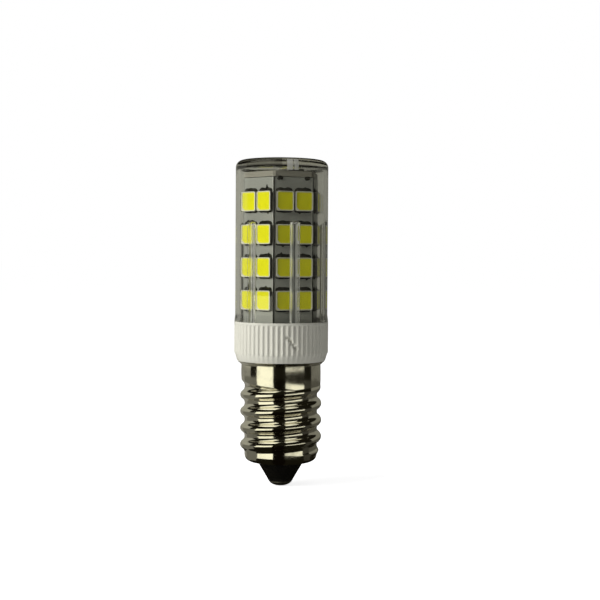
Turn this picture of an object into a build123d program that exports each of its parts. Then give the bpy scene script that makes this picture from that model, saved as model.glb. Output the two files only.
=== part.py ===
from build123d import *
import math
import os

os.makedirs("parts", exist_ok=True)

# The bulb stands cap down with the tip of its contact at height zero, and the screw axis is the Z axis.
# All sizes are in millimetres and all heights are above the contact tip.

# Contact and insulator
CONTACT_RADIUS = 1.95
CONTACT_HEIGHT = 0.95
STEM_RADIUS = 0.70
STEM_TOP = 5.9
WIRE_HOLE = 0.34
INSULATOR_MOUTH = 4.02

# Screw shell with the small screw lamp thread
SHELL_BOTTOM = 4.3
SHELL_TOP = 20.75
SHEET = 0.25
PITCH = 2.822
CREST_RADIUS = 6.92
ROOT_RADIUS = 6.15
NECK_RADIUS = 6.78
THREAD_ZERO = 5.69
SHELL_EDGE = 1.1

# Collar
COLLAR_RADIUS = 8.0
COLLAR_TOP = 28.1
FLUTES = 58
FLUTE_FIRST = -88.07
FLUTE_DEPTH = 0.17
FLUTE_WIDTH = 0.78
FLUTE_LOW = 22.9
FLUTE_HIGH = 27.75
SOCKET_RADIUS = 7.5
LEDGE = 24.0

# Clear cover
COVER_RADIUS = 7.85
COVER_INSIDE = 7.15
COVER_TOP = 55.55
COVER_CROWN = 0.22
COVER_EDGE = 1.2
COVER_ROOM_TOP = 54.1
SPIGOT_RADIUS = 7.46
SPIGOT_BOTTOM = 25.5
RIB_FIRST = -72.7
RIB_WIDTH = 1.7
RIB_REACH = 6.55
RIB_TOP = 44.9

# Folded lamp board and its top
FACET_FIRST = -71.0
FACET_OUT = 5.8
BOARD = 0.6
BOARD_TOP = 52.15
SCORE_HALF = 0.16
SCORE_WEB = 0.15
TOP_BOARD_LOW = 52.25
TOP_BOARD_HIGH = 53.2
SOLDER_STEP = 2.3

# Light emitting diodes
LED_WIDTH = 3.0
LED_HEIGHT = 3.3
LED_THICK = 0.6
LED_GAP = 0.2
ROWS = (31.8, 37.27, 42.73, 48.2)
WINDOW_WIDTH = 2.5
WINDOW_HEIGHT = 2.95
WINDOW_DEPTH = 0.34
WINDOW_MARK = 0.55
TOP_LED_ANGLES = (-57.0, 63.0, 183.0)
TOP_LED_REACH = 2.8

# Driver board, which stands on edge in the middle
DRIVER_WIDTH = 8.4
DRIVER_THICK = 1.0
DRIVER_LOW = 8.6
DRIVER_HIGH = 34.0


def upright_face(edges):
    """Flat face in the XZ plane from edges drawn as radius and height."""
    outline = Curve() + list(edges)
    return make_face(Plane.XZ * outline)


def turned(*edges):
    """Solid of revolution from edges drawn as radius and height."""
    return revolve(upright_face(edges), Axis.Z)


def ring(inner, outer, low, high):
    """Plain tube between two heights."""
    tube = Cylinder(outer, high - low, align=(Align.CENTER, Align.CENTER, Align.MIN))
    if inner > 0:
        tube -= Cylinder(inner, high - low, align=(Align.CENTER, Align.CENTER, Align.MIN))
    return Pos(0, 0, low) * tube


def around(angle):
    """Turn about the screw axis by an angle in degrees."""
    return Rot(0, 0, angle)


def bend(centre, radius, start, stop, chords):
    """Points along a round edge, given as its centre, radius, two angles in degrees and chord count."""
    points = []
    for i in range(chords + 1):
        angle = math.radians(start + (stop - start) * i / chords)
        points.append((centre[0] + radius * math.cos(angle), centre[1] + radius * math.sin(angle)))
    return points


def center_contact():
    """Domed contact with a hollow rivet stem that takes the live wire."""
    rise = 0.80
    sphere = (CONTACT_RADIUS**2 + rise**2) / (2 * rise)
    half = math.degrees(math.asin(CONTACT_RADIUS / sphere))
    dome = bend((0, sphere), sphere, -90, half - 90, 3)
    side = [
        (CONTACT_RADIUS, CONTACT_HEIGHT),
        (STEM_RADIUS, CONTACT_HEIGHT),
        (STEM_RADIUS, STEM_TOP),
        (WIRE_HOLE, STEM_TOP),
        (WIRE_HOLE, 2.6),
        (0, 2.6),
    ]
    return turned(Polyline(*dome, *side, close=True))


def shell_insulator():
    """Black cone between contact and shell, widened inside the shell so that the shell holds it."""
    low = CONTACT_HEIGHT
    outline = Polyline(
        (STEM_RADIUS, low),
        (CONTACT_RADIUS + 0.06, low),
        (INSULATOR_MOUTH, SHELL_BOTTOM),
        (INSULATOR_MOUTH, SHELL_BOTTOM + SHEET),
        (5.1, SHELL_BOTTOM + SHEET),
        (5.1, SHELL_BOTTOM + 1.1),
        (STEM_RADIUS, SHELL_BOTTOM + 1.1),
        close=True,
    )
    return turned(outline)


def thread_profile():
    """Ridge of the thread in a plane through the axis, with a round crest and round flanks."""
    depth = CREST_RADIUS - ROOT_RADIUS
    arc = ((PITCH / 2) ** 2 + depth**2) / (4 * depth)
    slope = math.degrees(math.atan2(PITCH / 2, 2 * arc - depth))
    hair = 2
    crest = bend((CREST_RADIUS - arc * math.cos(math.radians(slope / 3)), 0), arc, -slope, slope, 3)
    low = bend((ROOT_RADIUS + arc, -PITCH / 2), arc, 180 - hair, 180 - slope, 1)
    high = bend((ROOT_RADIUS + arc, PITCH / 2), arc, 180 + slope, 180 + hair, 1)
    foot = [(ROOT_RADIUS - 0.1, high[-1][1]), (ROOT_RADIUS - 0.1, low[0][1])]
    return Polyline(*low[:-1], *crest, *high[1:], *foot, close=True)


def thread_run(start, stop, sink_start, sink_stop):
    """Ridge swept right handed between two angles, its radius sinking as asked at either end."""
    height = PITCH * (stop - start) / 360
    shift = sink_stop - sink_start
    cone = math.degrees(math.atan2(-shift, height))
    path = Helix(PITCH, height, CREST_RADIUS - sink_start, cone_angle=cone)
    section = Pos(-sink_start, 0, 0) * upright_face([thread_profile()])
    ridge = sweep(section, path=path, is_frenet=True)
    return Pos(0, 0, THREAD_ZERO + PITCH * start / 360) * around(start) * ridge


def neck_form():
    """Plain neck whose lower edge slants with the last thread groove and is bevelled."""
    lean = math.degrees(math.atan2(PITCH / 2, 2 * NECK_RADIUS))
    slant = Pos(0, 0, THREAD_ZERO + PITCH * 4.25) * Rot(0, lean, 0) * Plane.XY
    neck = split(ring(0, NECK_RADIUS, 15.0, SHELL_TOP), bisect_by=slant, keep=Keep.TOP)
    return chamfer(neck.edges().sort_by(Axis.Z)[0], 0.42)


def screw_shell():
    """Screw cap: rounded foot, rolled thread that fades at both ends, neck, and a lip at the mouth."""
    core = ROOT_RADIUS + 0.02
    low = SHELL_BOTTOM
    foot = bend((core - SHELL_EDGE, low + SHELL_EDGE), SHELL_EDGE, -90, 0, 3)
    stem = Polyline((0, low), *foot, (core, 19.0), (0, 19.0), close=True)
    form = turned(stem) + neck_form()
    form += thread_run(90, 1260, 0, 0)
    form += thread_run(1260, 1620, 0, 0.28)
    wide = CREST_RADIUS + 0.2
    swell = Polyline(
        (0, low), *foot, (wide, low + SHELL_EDGE + 1.2), (wide, 19.0), (0, 19.0), close=True
    )
    form += thread_run(-90, 90, CREST_RADIUS - ROOT_RADIUS, 0) & turned(swell)
    room = Polyline(
        (0, low - 1),
        (INSULATOR_MOUTH, low - 1),
        (INSULATOR_MOUTH, low + SHEET),
        (core - SHEET - 0.75, low + SHEET),
        (core - SHEET, low + SHEET + 0.75),
        (core - SHEET, 18.0),
        (NECK_RADIUS - SHEET, 18.6),
        (NECK_RADIUS - SHEET, SHELL_TOP + 1),
        (0, SHELL_TOP + 1),
        close=True,
    )
    return form - turned(room)


def flute_cutter():
    """Ring that cuts the grip band: its hole has narrow ridges and wide shallow valleys."""
    step = 360 / FLUTES
    side = math.degrees((FLUTE_WIDTH / 2) / COLLAR_RADIUS)
    ridge = COLLAR_RADIUS - 0.02
    deep = COLLAR_RADIUS - FLUTE_DEPTH
    outline = []
    for i in range(FLUTES):
        valley = FLUTE_FIRST + step * (i + 0.5)
        for radius, turn in ((ridge, -side), (deep, 0), (ridge, side)):
            angle = math.radians(valley + turn)
            outline.append((radius * math.cos(angle), radius * math.sin(angle)))
    flat = Circle(COLLAR_RADIUS + 0.2) - make_face(Polyline(*outline, close=True))
    return Pos(0, 0, FLUTE_LOW) * extrude(flat, FLUTE_HIGH - FLUTE_LOW)


def collar():
    """White collar: fluted grip, rounded lower band, socket for the cover, spigot for the shell."""
    lower = bend((6.95, SHELL_TOP + 0.53), 0.5, -70, -5, 2)
    band = bend((7.2, FLUTE_LOW - 0.05), 0.8, -35, 0, 2)
    body = turned(
        Polyline(
            (7.85, COLLAR_TOP),
            (SOCKET_RADIUS, COLLAR_TOP),
            (SOCKET_RADIUS, SPIGOT_BOTTOM - 0.1),
            (6.95, SPIGOT_BOTTOM - 0.1),
            (6.95, LEDGE),
            (5.7, LEDGE),
            (5.7, 19.2),
            (6.48, 19.2),
            (6.48, SHELL_TOP),
            (6.95, SHELL_TOP),
            *lower,
            *band,
            (COLLAR_RADIUS, COLLAR_TOP - 0.15),
            close=True,
        )
    )
    body -= flute_cutter()
    nick = Pos(COLLAR_RADIUS + 0.06, 0, 24.8) * Rot(42, 0, 0) * Box(0.5, 0.32, 2.4)
    return body - around(-75.2) * nick


def clear_cover():
    """Clear tube with a crowned closed top, a foot that meets the collar and six guide ribs inside."""
    rim = COVER_TOP - COVER_CROWN
    edge = bend((COVER_RADIUS - COVER_EDGE, rim - COVER_EDGE), COVER_EDGE, 84, 0, 3)
    inner = 0.6
    inner_edge = bend((COVER_INSIDE - inner, COVER_ROOM_TOP - inner), inner, 0, 90, 2)
    body = turned(
        Polyline(
            (0, COVER_TOP),
            *edge,
            (COVER_RADIUS, COLLAR_TOP + 1.3),
            (COVER_RADIUS + 0.12, COLLAR_TOP + 0.3),
            (COVER_RADIUS + 0.12, COLLAR_TOP),
            (SPIGOT_RADIUS, COLLAR_TOP),
            (SPIGOT_RADIUS, SPIGOT_BOTTOM),
            (COVER_INSIDE, SPIGOT_BOTTOM),
            *inner_edge,
            (0, COVER_ROOM_TOP),
            close=True,
        )
    )
    side = Polyline(
        (COVER_INSIDE + 0.2, COLLAR_TOP),
        (RIB_REACH, COLLAR_TOP),
        (RIB_REACH, RIB_TOP - 0.5),
        (COVER_INSIDE + 0.2, RIB_TOP),
        close=True,
    )
    rib = extrude(upright_face([side]), RIB_WIDTH / 2, both=True)
    rounded = Polyline(
        (COVER_INSIDE + 0.3, -RIB_WIDTH / 2),
        (COVER_INSIDE - 0.1, -RIB_WIDTH / 2),
        (RIB_REACH, -RIB_WIDTH / 4),
        (RIB_REACH, RIB_WIDTH / 4),
        (COVER_INSIDE - 0.1, RIB_WIDTH / 2),
        (COVER_INSIDE + 0.3, RIB_WIDTH / 2),
        close=True,
    )
    rib &= Pos(0, 0, COLLAR_TOP - 1) * extrude(make_face(rounded), RIB_TOP - COLLAR_TOP + 2)
    for i in range(6):
        body += around(RIB_FIRST + 60 * i) * rib
    return body


def led_board():
    """Six flat panels of one board, scored and folded round into a hexagonal column."""
    third = math.tan(math.radians(30))
    web = FACET_OUT - BOARD + SCORE_WEB
    back = FACET_OUT - BOARD
    flat = FACET_OUT * third - SCORE_HALF
    panel = make_face(
        Polyline(
            (FACET_OUT, -flat),
            (FACET_OUT, flat),
            (web, web * third),
            (back, back * third),
            (back, -back * third),
            (web, -web * third),
            close=True,
        )
    )
    panel = Pos(0, 0, LEDGE) * extrude(panel, BOARD_TOP - LEDGE)
    column = around(FACET_FIRST) * panel
    for i in range(1, 6):
        column += around(FACET_FIRST + 60 * i) * panel
    return column


def hexagon_plate(across_half, low, high, corner):
    """Hexagonal plate with clipped corners, its flats over the panels of the column."""
    plate = extrude(RegularPolygon(across_half, 6, major_radius=False), high - low)
    plate = chamfer(plate.edges().filter_by(Axis.Z), corner)
    return Pos(0, 0, low) * around(FACET_FIRST + 30) * plate


def top_board():
    """Six sided board that closes the top of the column."""
    return hexagon_plate(FACET_OUT - 0.05, TOP_BOARD_LOW, TOP_BOARD_HIGH, 0.25)


def facet_plane(index, lift):
    """Plane on one outer face of the column, its own Y axis upright."""
    turn = math.radians(FACET_FIRST + 60 * index)
    out = FACET_OUT + lift
    return Plane(
        origin=(out * math.cos(turn), out * math.sin(turn), 0),
        x_dir=(-math.sin(turn), math.cos(turn), 0),
        z_dir=(math.cos(turn), math.sin(turn), 0),
    )


def window_outline():
    """Window of a light emitting diode with its mark corner cut off."""
    w = WINDOW_WIDTH / 2
    h = WINDOW_HEIGHT / 2
    return make_face(
        Polyline((-w + WINDOW_MARK, -h), (w, -h), (w, h), (-w, h), (-w, -h + WINDOW_MARK), close=True)
    )


def led_housing():
    """White frame of one light emitting diode, lying on its back."""
    frame = extrude(Rectangle(LED_WIDTH, LED_HEIGHT), LED_THICK)
    return frame - Pos(0, 0, LED_THICK - WINDOW_DEPTH) * extrude(window_outline(), WINDOW_DEPTH)


def led_phosphor():
    """Phosphor pad that fills the window to just under the frame."""
    return Pos(0, 0, LED_THICK - WINDOW_DEPTH) * extrude(window_outline(), WINDOW_DEPTH - 0.03)


def solder_pair(up, down):
    """Two sloped solder fillets, at the upper and lower ends of one light emitting diode."""
    pair = []
    for sign, reach in ((1, up), (-1, down)):
        edge = sign * LED_HEIGHT / 2
        slope = Polyline((edge, 0), (edge + sign * reach, 0), (edge, 0.30), close=True)
        pair.append(extrude(make_face(Plane.YZ * slope), 1.05, both=True))
    return pair


def facet_spots():
    """Centres of the light emitting diodes on one facet, as side step and height."""
    step = (LED_WIDTH + LED_GAP) / 2
    return [(side * step, row) for row in ROWS for side in (-1, 1)]


def on_facet(index, pieces):
    """Copies of some pieces at each diode of a facet."""
    plane = facet_plane(index, 0)
    return Compound([plane * Pos(x, y, 0) * piece for x, y in facet_spots() for piece in pieces])


def on_top(pieces):
    """Copies of some pieces at each of the three diodes of the top board."""
    placed = []
    for angle in TOP_LED_ANGLES:
        seat = Pos(0, 0, TOP_BOARD_HIGH) * around(angle) * Pos(TOP_LED_REACH, 0, 0)
        placed += [seat * piece for piece in pieces]
    return Compound(placed)


def top_board_solder(boards):
    """Pairs of solder beads across the joint between three panels and the top board."""
    bead = Box(0.5, 0.9, 1.1)
    bead = chamfer(bead.edges().filter_by(Axis.Y).group_by(Axis.X)[-1], 0.3)
    beads = []
    for i in (0, 2, 4):
        for side in (-1, 1):
            place = around(FACET_FIRST + 60 * i) * Pos(FACET_OUT, side * SOLDER_STEP, TOP_BOARD_LOW - 0.1)
            shaped = place * bead
            for board in boards:
                shaped -= board
            beads.append(shaped.solids().sort_by(SortBy.VOLUME)[-1])
    return Compound(beads)


def driver_board():
    """Narrow board on edge, from the shell up into the lamp column."""
    plate = Box(DRIVER_WIDTH, DRIVER_THICK, DRIVER_HIGH - DRIVER_LOW)
    plate = chamfer(plate.edges().filter_by(Axis.Y), 0.8)
    return Pos(0, 0, (DRIVER_HIGH + DRIVER_LOW) / 2) * plate


def film_capacitor():
    """Boxed film capacitor with two short legs along the driver board."""
    face = DRIVER_THICK / 2
    case = Pos(0, face + 1.85, 16.2) * Box(6.8, 3.2, 7.4)
    case = chamfer(case.edges().filter_by(Axis.Z), 0.4)
    for x in (-2.2, 2.2):
        case += Pos(x, face + 0.15, 16.2) * Box(0.5, 0.3, 0.5)
    return case


def smoothing_capacitor():
    """Can capacitor lying along the driver board, with a rolled groove near its seal."""
    radius = 2.2
    can = Pos(0, 0, 20.0) * turned(
        Polyline(
            (0, 0),
            (radius, 0),
            (radius, 0.9),
            (radius - 0.25, 1.2),
            (radius, 1.5),
            (radius, 10.0),
            (0, 10.0),
            close=True,
        )
    )
    return Pos(0, -DRIVER_THICK / 2 - radius, 0) * can


def bridge_rectifier():
    """Small four legged rectifier on the driver board."""
    face = DRIVER_THICK / 2
    case = Pos(0, face + 1.35, 24.4) * Box(4.0, 2.3, 4.7)
    for x in (-1.3, 1.3):
        for z in (21.6, 27.2):
            case += Pos(x, face + 0.2, z) * Box(0.6, 0.4, 1.2)
            case += Pos(x, face + 0.45, z + (0.35 if z < 24 else -0.35)) * Box(0.6, 0.6, 0.3)
    return case


def bleed_resistor():
    """Chip resistor across the driver board."""
    face = DRIVER_THICK / 2
    return Pos(0, face + 0.3, 30.4) * Box(3.2, 0.6, 1.6)


def fuse_resistor():
    """Round fusible resistor with pinched ends, upright against the driver board."""
    radius = 1.4
    body = turned(
        Polyline((0, 0), (1.1, 0), (radius, 0.5), (radius, 4.6), (1.1, 5.1), (0, 5.1), close=True)
    )
    return Pos(-2.0, -DRIVER_THICK / 2 - radius, 12.2) * body


def wire(points, radius):
    """Stiff insulated wire, eight sided, along straight runs."""
    path = Polyline(*points)
    section = Plane(origin=path @ 0, z_dir=path % 0) * RegularPolygon(radius, 8)
    return sweep(section, path=path, transition=Transition.RIGHT)


def live_wire():
    """Wire from the bottom of the contact stem up to the driver board."""
    return wire([(0, 0, 2.6), (0, 0, 7.2), (-2.6, 0.85, 8.0), (-2.6, 0.85, 9.8)], 0.3)


def neutral_wire():
    """Wire from the neck of the shell down to the driver board."""
    return wire([(6.0, 0.85, 18.9), (5.3, 0.85, 18.0), (2.9, 0.85, 9.4), (2.9, 0.85, 8.8)], 0.3)


def led_wire(side):
    """Wire from the driver board up the column to the underside of the top board."""
    return wire([(side * 2.6, 0.92, 32.0), (side * 2.6, 0.92, 36.0), (side * 3.3, 0.92, 52.2)], 0.4)


def parts():
    """Every node of the bulb by name."""
    column = led_board()
    plate = top_board()
    made = {
        "center_contact": center_contact(),
        "shell_insulator": shell_insulator(),
        "screw_shell": screw_shell(),
        "collar": collar(),
        "clear_cover": clear_cover(),
        "led_board": column,
        "top_board": plate,
        "top_board_solder": top_board_solder((column, plate)),
        "driver_board": driver_board(),
        "film_capacitor": film_capacitor(),
        "smoothing_capacitor": smoothing_capacitor(),
        "bridge_rectifier": bridge_rectifier(),
        "bleed_resistor": bleed_resistor(),
        "fuse_resistor": fuse_resistor(),
        "live_wire": live_wire(),
        "neutral_wire": neutral_wire(),
        "led_wire_positive": led_wire(1),
        "led_wire_negative": led_wire(-1),
    }
    for i in range(6):
        made[f"led_housings_face_{i + 1}"] = on_facet(i, [led_housing()])
        made[f"led_phosphors_face_{i + 1}"] = on_facet(i, [led_phosphor()])
        made[f"led_solder_face_{i + 1}"] = on_facet(i, solder_pair(0.62, 0.42))
    made["led_housings_top"] = on_top([led_housing()])
    made["led_phosphors_top"] = on_top([led_phosphor()])
    made["led_solder_top"] = on_top(solder_pair(0.5, 0.5))
    return made


for name, solid in parts().items():
    export_step(solid, f"parts/{name}.step")
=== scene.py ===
"""Finished looks of a clear led fridge bulb, built round its packed frame and laid out as an add-on.

The bulb stands on its contact, its screw axis on the Z axis. Lengths are in metres and angles of named
places in degrees. A profile table holds radius and height in millimetres.
"""
import math

import bmesh
import bpy
import numpy as np
from mathutils import Euler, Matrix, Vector


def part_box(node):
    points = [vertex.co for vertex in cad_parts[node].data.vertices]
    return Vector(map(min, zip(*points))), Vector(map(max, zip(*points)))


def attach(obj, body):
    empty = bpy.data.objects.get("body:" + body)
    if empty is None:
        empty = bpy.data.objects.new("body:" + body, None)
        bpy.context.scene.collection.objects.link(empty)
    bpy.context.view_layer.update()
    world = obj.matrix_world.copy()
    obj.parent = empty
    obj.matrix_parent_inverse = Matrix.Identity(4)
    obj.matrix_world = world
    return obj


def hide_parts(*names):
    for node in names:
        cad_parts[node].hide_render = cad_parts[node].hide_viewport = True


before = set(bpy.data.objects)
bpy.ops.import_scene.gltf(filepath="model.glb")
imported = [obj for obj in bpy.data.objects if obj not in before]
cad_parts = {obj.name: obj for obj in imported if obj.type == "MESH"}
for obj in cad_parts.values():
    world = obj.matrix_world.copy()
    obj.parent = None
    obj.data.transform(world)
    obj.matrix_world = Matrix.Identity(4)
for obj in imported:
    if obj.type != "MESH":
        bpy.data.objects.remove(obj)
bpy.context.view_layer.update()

bl_info = {
    "name": "Led fridge bulb",
    "version": (1, 0, 0),
    "blender": (4, 5, 0),
    "location": "View3D > Sidebar > Fridge bulb",
    "description": "Builds the finished surfaces, materials and studio of a clear led fridge bulb",
    "category": "Object",
}

MM = 0.001
BODY = "root"
RIB_FIRST = -72.7
RIB_TOP = 44.9 * MM
COVER_CEILING = 54.1 * MM
FACET_FIRST = -71.0


def top_of(node):
    """Height of a node's highest point in the frame."""
    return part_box(node)[1].z


def bottom_of(node):
    """Height of a node's lowest point in the frame."""
    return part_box(node)[0].z


def length(name, description, default):
    """Size in metres that a user may change."""
    return bpy.props.FloatProperty(name=name, description=description, default=default, unit="LENGTH")


def tint(name, description, default):
    """Colour that a user may change."""
    return bpy.props.FloatVectorProperty(
        name=name, description=description, default=default, subtype="COLOR", min=0, max=1
    )


class ShellSettings(bpy.types.PropertyGroup):
    """Sizes and colour of the rolled screw shell."""

    crest: length("Crest radius", "Radius over the thread", 6.92 * MM)
    root: length("Root radius", "Radius in the thread groove", 6.17 * MM)
    neck: length("Neck radius", "Radius of the plain neck", 6.78 * MM)
    pitch: length("Pitch", "Rise of the thread in one turn", 2.822 * MM)
    sheet: length("Sheet", "Thickness of the metal", 0.25 * MM)
    plate: tint("Plate", "Colour of the nickel plate", (0.86, 0.83, 0.72))


class CollarSettings(bpy.types.PropertyGroup):
    """Sizes and colour of the white grip collar."""

    radius: length("Radius", "Radius over the ridges", 7.99 * MM)
    flutes: bpy.props.IntProperty(name="Flutes", description="Flutes round the grip", default=58)
    depth: length("Flute depth", "Depth of a flute", 0.17 * MM)
    colour: tint("Colour", "Colour of the moulded plastic", (0.60, 0.59, 0.51))


class CoverSettings(bpy.types.PropertyGroup):
    """Sizes and clearness of the cover."""

    radius: length("Radius", "Outer radius of the tube", 7.85 * MM)
    inside: length("Inner radius", "Inner radius of the tube", 7.15 * MM)
    rib_height: length("Rib height", "How far a rib stands inwards", 0.60 * MM)
    rib_width: length("Rib width", "Width of a rib", 1.7 * MM)
    bending: bpy.props.FloatProperty(
        name="Index", description="Index of refraction of the plastic", default=1.49, min=1, max=2
    )


class LampSettings(bpy.types.PropertyGroup):
    """Sizes and colours of the light emitting diodes and their boards."""

    width: length("Width", "Width of a diode", 3.0 * MM)
    height: length("Height", "Height of a diode", 3.3 * MM)
    pad: tint("Pad", "Colour of the phosphor", (0.84, 0.81, 0.003))
    case: tint("Case", "Colour of the diode's case", (0.72, 0.71, 0.56))
    board: tint("Board", "Colour of the board's lacquer", (0.31, 0.315, 0.275))


class StudioSettings(bpy.types.PropertyGroup):
    """Camera, lamp and plain light."""

    distance: length("Distance", "From the camera to the screw axis", 195 * MM)
    eye: length("Eye height", "Camera above the contact tip", 37.85 * MM)
    lens: bpy.props.FloatProperty(name="Lens", description="Focal length for a 36 mm wide frame", default=68.7)
    key: bpy.props.FloatProperty(name="Key", description="Power of the lamp on the left, in watts", default=1.35)
    fill: bpy.props.FloatProperty(name="Fill", description="Level of the plain light from all round", default=0.25)


SETTINGS = {
    "bulb_shell": ShellSettings,
    "bulb_collar": CollarSettings,
    "bulb_cover": CoverSettings,
    "bulb_lamps": LampSettings,
    "bulb_studio": StudioSettings,
}


class Number:
    """A wrapped shader socket. Where it carries a number, Python sums on it add Math nodes."""

    def __init__(self, nodes, socket):
        self.nodes = nodes
        self.socket = socket

    def with_maths(self, operation, first, second=None):
        return self.nodes.add("ShaderNodeMath", {"operation": operation}, {0: first, 1: second})

    def __add__(self, other):
        return self.with_maths("ADD", self, other)

    __radd__ = __add__

    def __sub__(self, other):
        return self.with_maths("SUBTRACT", self, other)

    def __rsub__(self, other):
        return self.with_maths("SUBTRACT", other, self)

    def __mul__(self, other):
        return self.with_maths("MULTIPLY", self, other)

    __rmul__ = __mul__

    def __truediv__(self, other):
        return self.with_maths("DIVIDE", self, other)

    def __pow__(self, other):
        return self.with_maths("POWER", self, other)

    def __abs__(self):
        return self.with_maths("ABSOLUTE", self)

    def higher(self, other):
        return self.with_maths("MAXIMUM", self, other)

    def fraction(self):
        return self.with_maths("FRACT", self)

    def angle_from(self, other):
        return self.with_maths("ARCTAN2", self, other)


class Nodes:
    """Writes one node tree."""

    def __init__(self, tree):
        self.tree = tree
        tree.nodes.clear()

    def add(self, kind, settings=None, values=None, output=0):
        """Adds a node, sets it up, fills its sockets, and returns one of its outputs."""
        node = self.tree.nodes.new(kind)
        for name, value in (settings or {}).items():
            setattr(node, name, value)
        for name, value in (values or {}).items():
            if value is None:
                continue
            if isinstance(value, Number):
                self.tree.links.new(value.socket, node.inputs[name])
            else:
                node.inputs[name].default_value = value
        return Number(self, node.outputs[output]) if node.outputs else node

    def coordinates(self, output="Object"):
        return self.add("ShaderNodeTexCoord", output=output)

    def axis(self, vector, name):
        """One of the X, Y and Z parts of a vector."""
        return self.add("ShaderNodeSeparateXYZ", {}, {"Vector": vector}, name)

    def stretched(self, vector, scale):
        """A vector with its parts scaled one by one."""
        return self.add("ShaderNodeMapping", {}, {"Vector": vector, "Scale": scale})

    def noise(self, vector, scale, detail=3.0, rough=0.5):
        return self.add(
            "ShaderNodeTexNoise", {}, {"Vector": vector, "Scale": scale, "Detail": detail, "Roughness": rough}
        )

    def spread(self, value, low, high, to_low, to_high):
        """A number carried from one range to another and held inside it."""
        return self.add(
            "ShaderNodeMapRange",
            {"clamp": True, "interpolation_type": "SMOOTHSTEP"},
            {"Value": value, "From Min": low, "From Max": high, "To Min": to_low, "To Max": to_high},
        )

    def blend(self, factor, first, second):
        """Mix of two colours."""
        return self.add(
            "ShaderNodeMix",
            {"data_type": "RGBA", "clamp_factor": True},
            {0: factor, 6: colour_of(first), 7: colour_of(second)},
            2,
        )

    def turn(self, place):
        """Angle about Z in degrees, from -180 to 180."""
        return self.axis(place, "Y").angle_from(self.axis(place, "X")) * math.degrees(1)

    def sixth(self, place, first):
        """Share of the way, from 0 to 1, across each sixth of a turn about Z, the first centred on an angle."""
        return ((self.turn(place) - (first - 30)) / 60 + 6).fraction()

    def bump(self, height, strength, distance):
        return self.add("ShaderNodeBump", {}, {"Height": height, "Strength": strength, "Distance": distance})

    def surface(self, shader):
        self.add("ShaderNodeOutputMaterial", {}, {"Surface": shader})


def colour_of(value):
    """A colour with its opacity, or the link that it already is."""
    if isinstance(value, Number):
        return value
    return (*value[:3], 1.0)


def new_material(name):
    """An empty material and the writer of its nodes."""
    material = bpy.data.materials.new(name)
    material.use_nodes = True
    return material, Nodes(material.node_tree)


def principled(nodes, colour, roughness, **more):
    """Principled shader whose other sockets are given by name, spaces as underscores."""
    values = {"Base Color": colour_of(colour), "Roughness": roughness}
    values.update({name.replace("_", " "): value for name, value in more.items()})
    return nodes.add("ShaderNodeBsdfPrincipled", {}, values)


def mottled(nodes, place, colour, scale, change):
    """A colour that wanders by a small share between darker and lighter."""
    darker = [part * (1 - change) for part in colour]
    lighter = [min(part * (1 + change), 1.0) for part in colour]
    return nodes.blend(nodes.noise(place, scale, 4), darker, lighter)


def nickel_plate(name, colour, roughness, wear):
    """Bright plate on rolled sheet: turning marks round the axis, faint stains and a worn lustre."""
    material, nodes = new_material(name)
    place = nodes.coordinates()
    marks = nodes.noise(nodes.stretched(place, (180, 180, 5200)), 1, 4, 0.6)
    stains = nodes.noise(place, 420, 5, 0.62)
    dull = [part * (1 - wear) for part in colour]
    tone = nodes.blend(nodes.spread(stains, 0.45, 0.75, 0, 1), colour, dull)
    gloss = nodes.spread(stains, 0.3, 0.8, roughness, roughness * 1.9)
    relief = nodes.bump(marks, 0.05, 0.02 * MM)
    nodes.surface(principled(nodes, tone, gloss, Metallic=1.0, Normal=relief))
    return material


def plain_plastic(name, colour, roughness, grain=2600, relief=0.06):
    """Moulded plastic with a fine skin and a slight wander in its colour."""
    material, nodes = new_material(name)
    place = nodes.coordinates()
    tone = mottled(nodes, place, colour, 260, 0.05)
    skin = nodes.noise(place, grain, 3)
    gloss = nodes.spread(nodes.noise(place, 500, 3), 0.3, 0.7, roughness * 0.85, roughness * 1.15)
    nodes.surface(principled(nodes, tone, gloss, Normal=nodes.bump(skin, relief, 0.05 * MM)))
    return material


# Distances from the axis between which the milk, and the rest of a rib's face, fade out.
MILK_FADE = (6.60 * MM, 6.95 * MM)
RIB_FACE = (7.05 * MM, 7.12 * MM)
# Places across a rib of the painted glint and the painted dark line, as a share of a sixth of a turn from its
# middle.
PAINTED_GLINT_PLACE = -0.070
PAINTED_DARK_LINE_PLACE = 0.004
# Angle of each painted reflection mark on the disc's outer wall, and how far to each side it is whole and then
# gone.
PAINTED_REFLECTION_MARKS = ((-80.3, 3.4, 3.9), (-72.6, 2.5, 3.1))
# Lowest height, and least distance from the axis, of the painted reflection marks.
PAINTED_REFLECTIONS_LOW = 53.1 * MM
PAINTED_REFLECTIONS_OUT = 7.4 * MM


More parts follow.
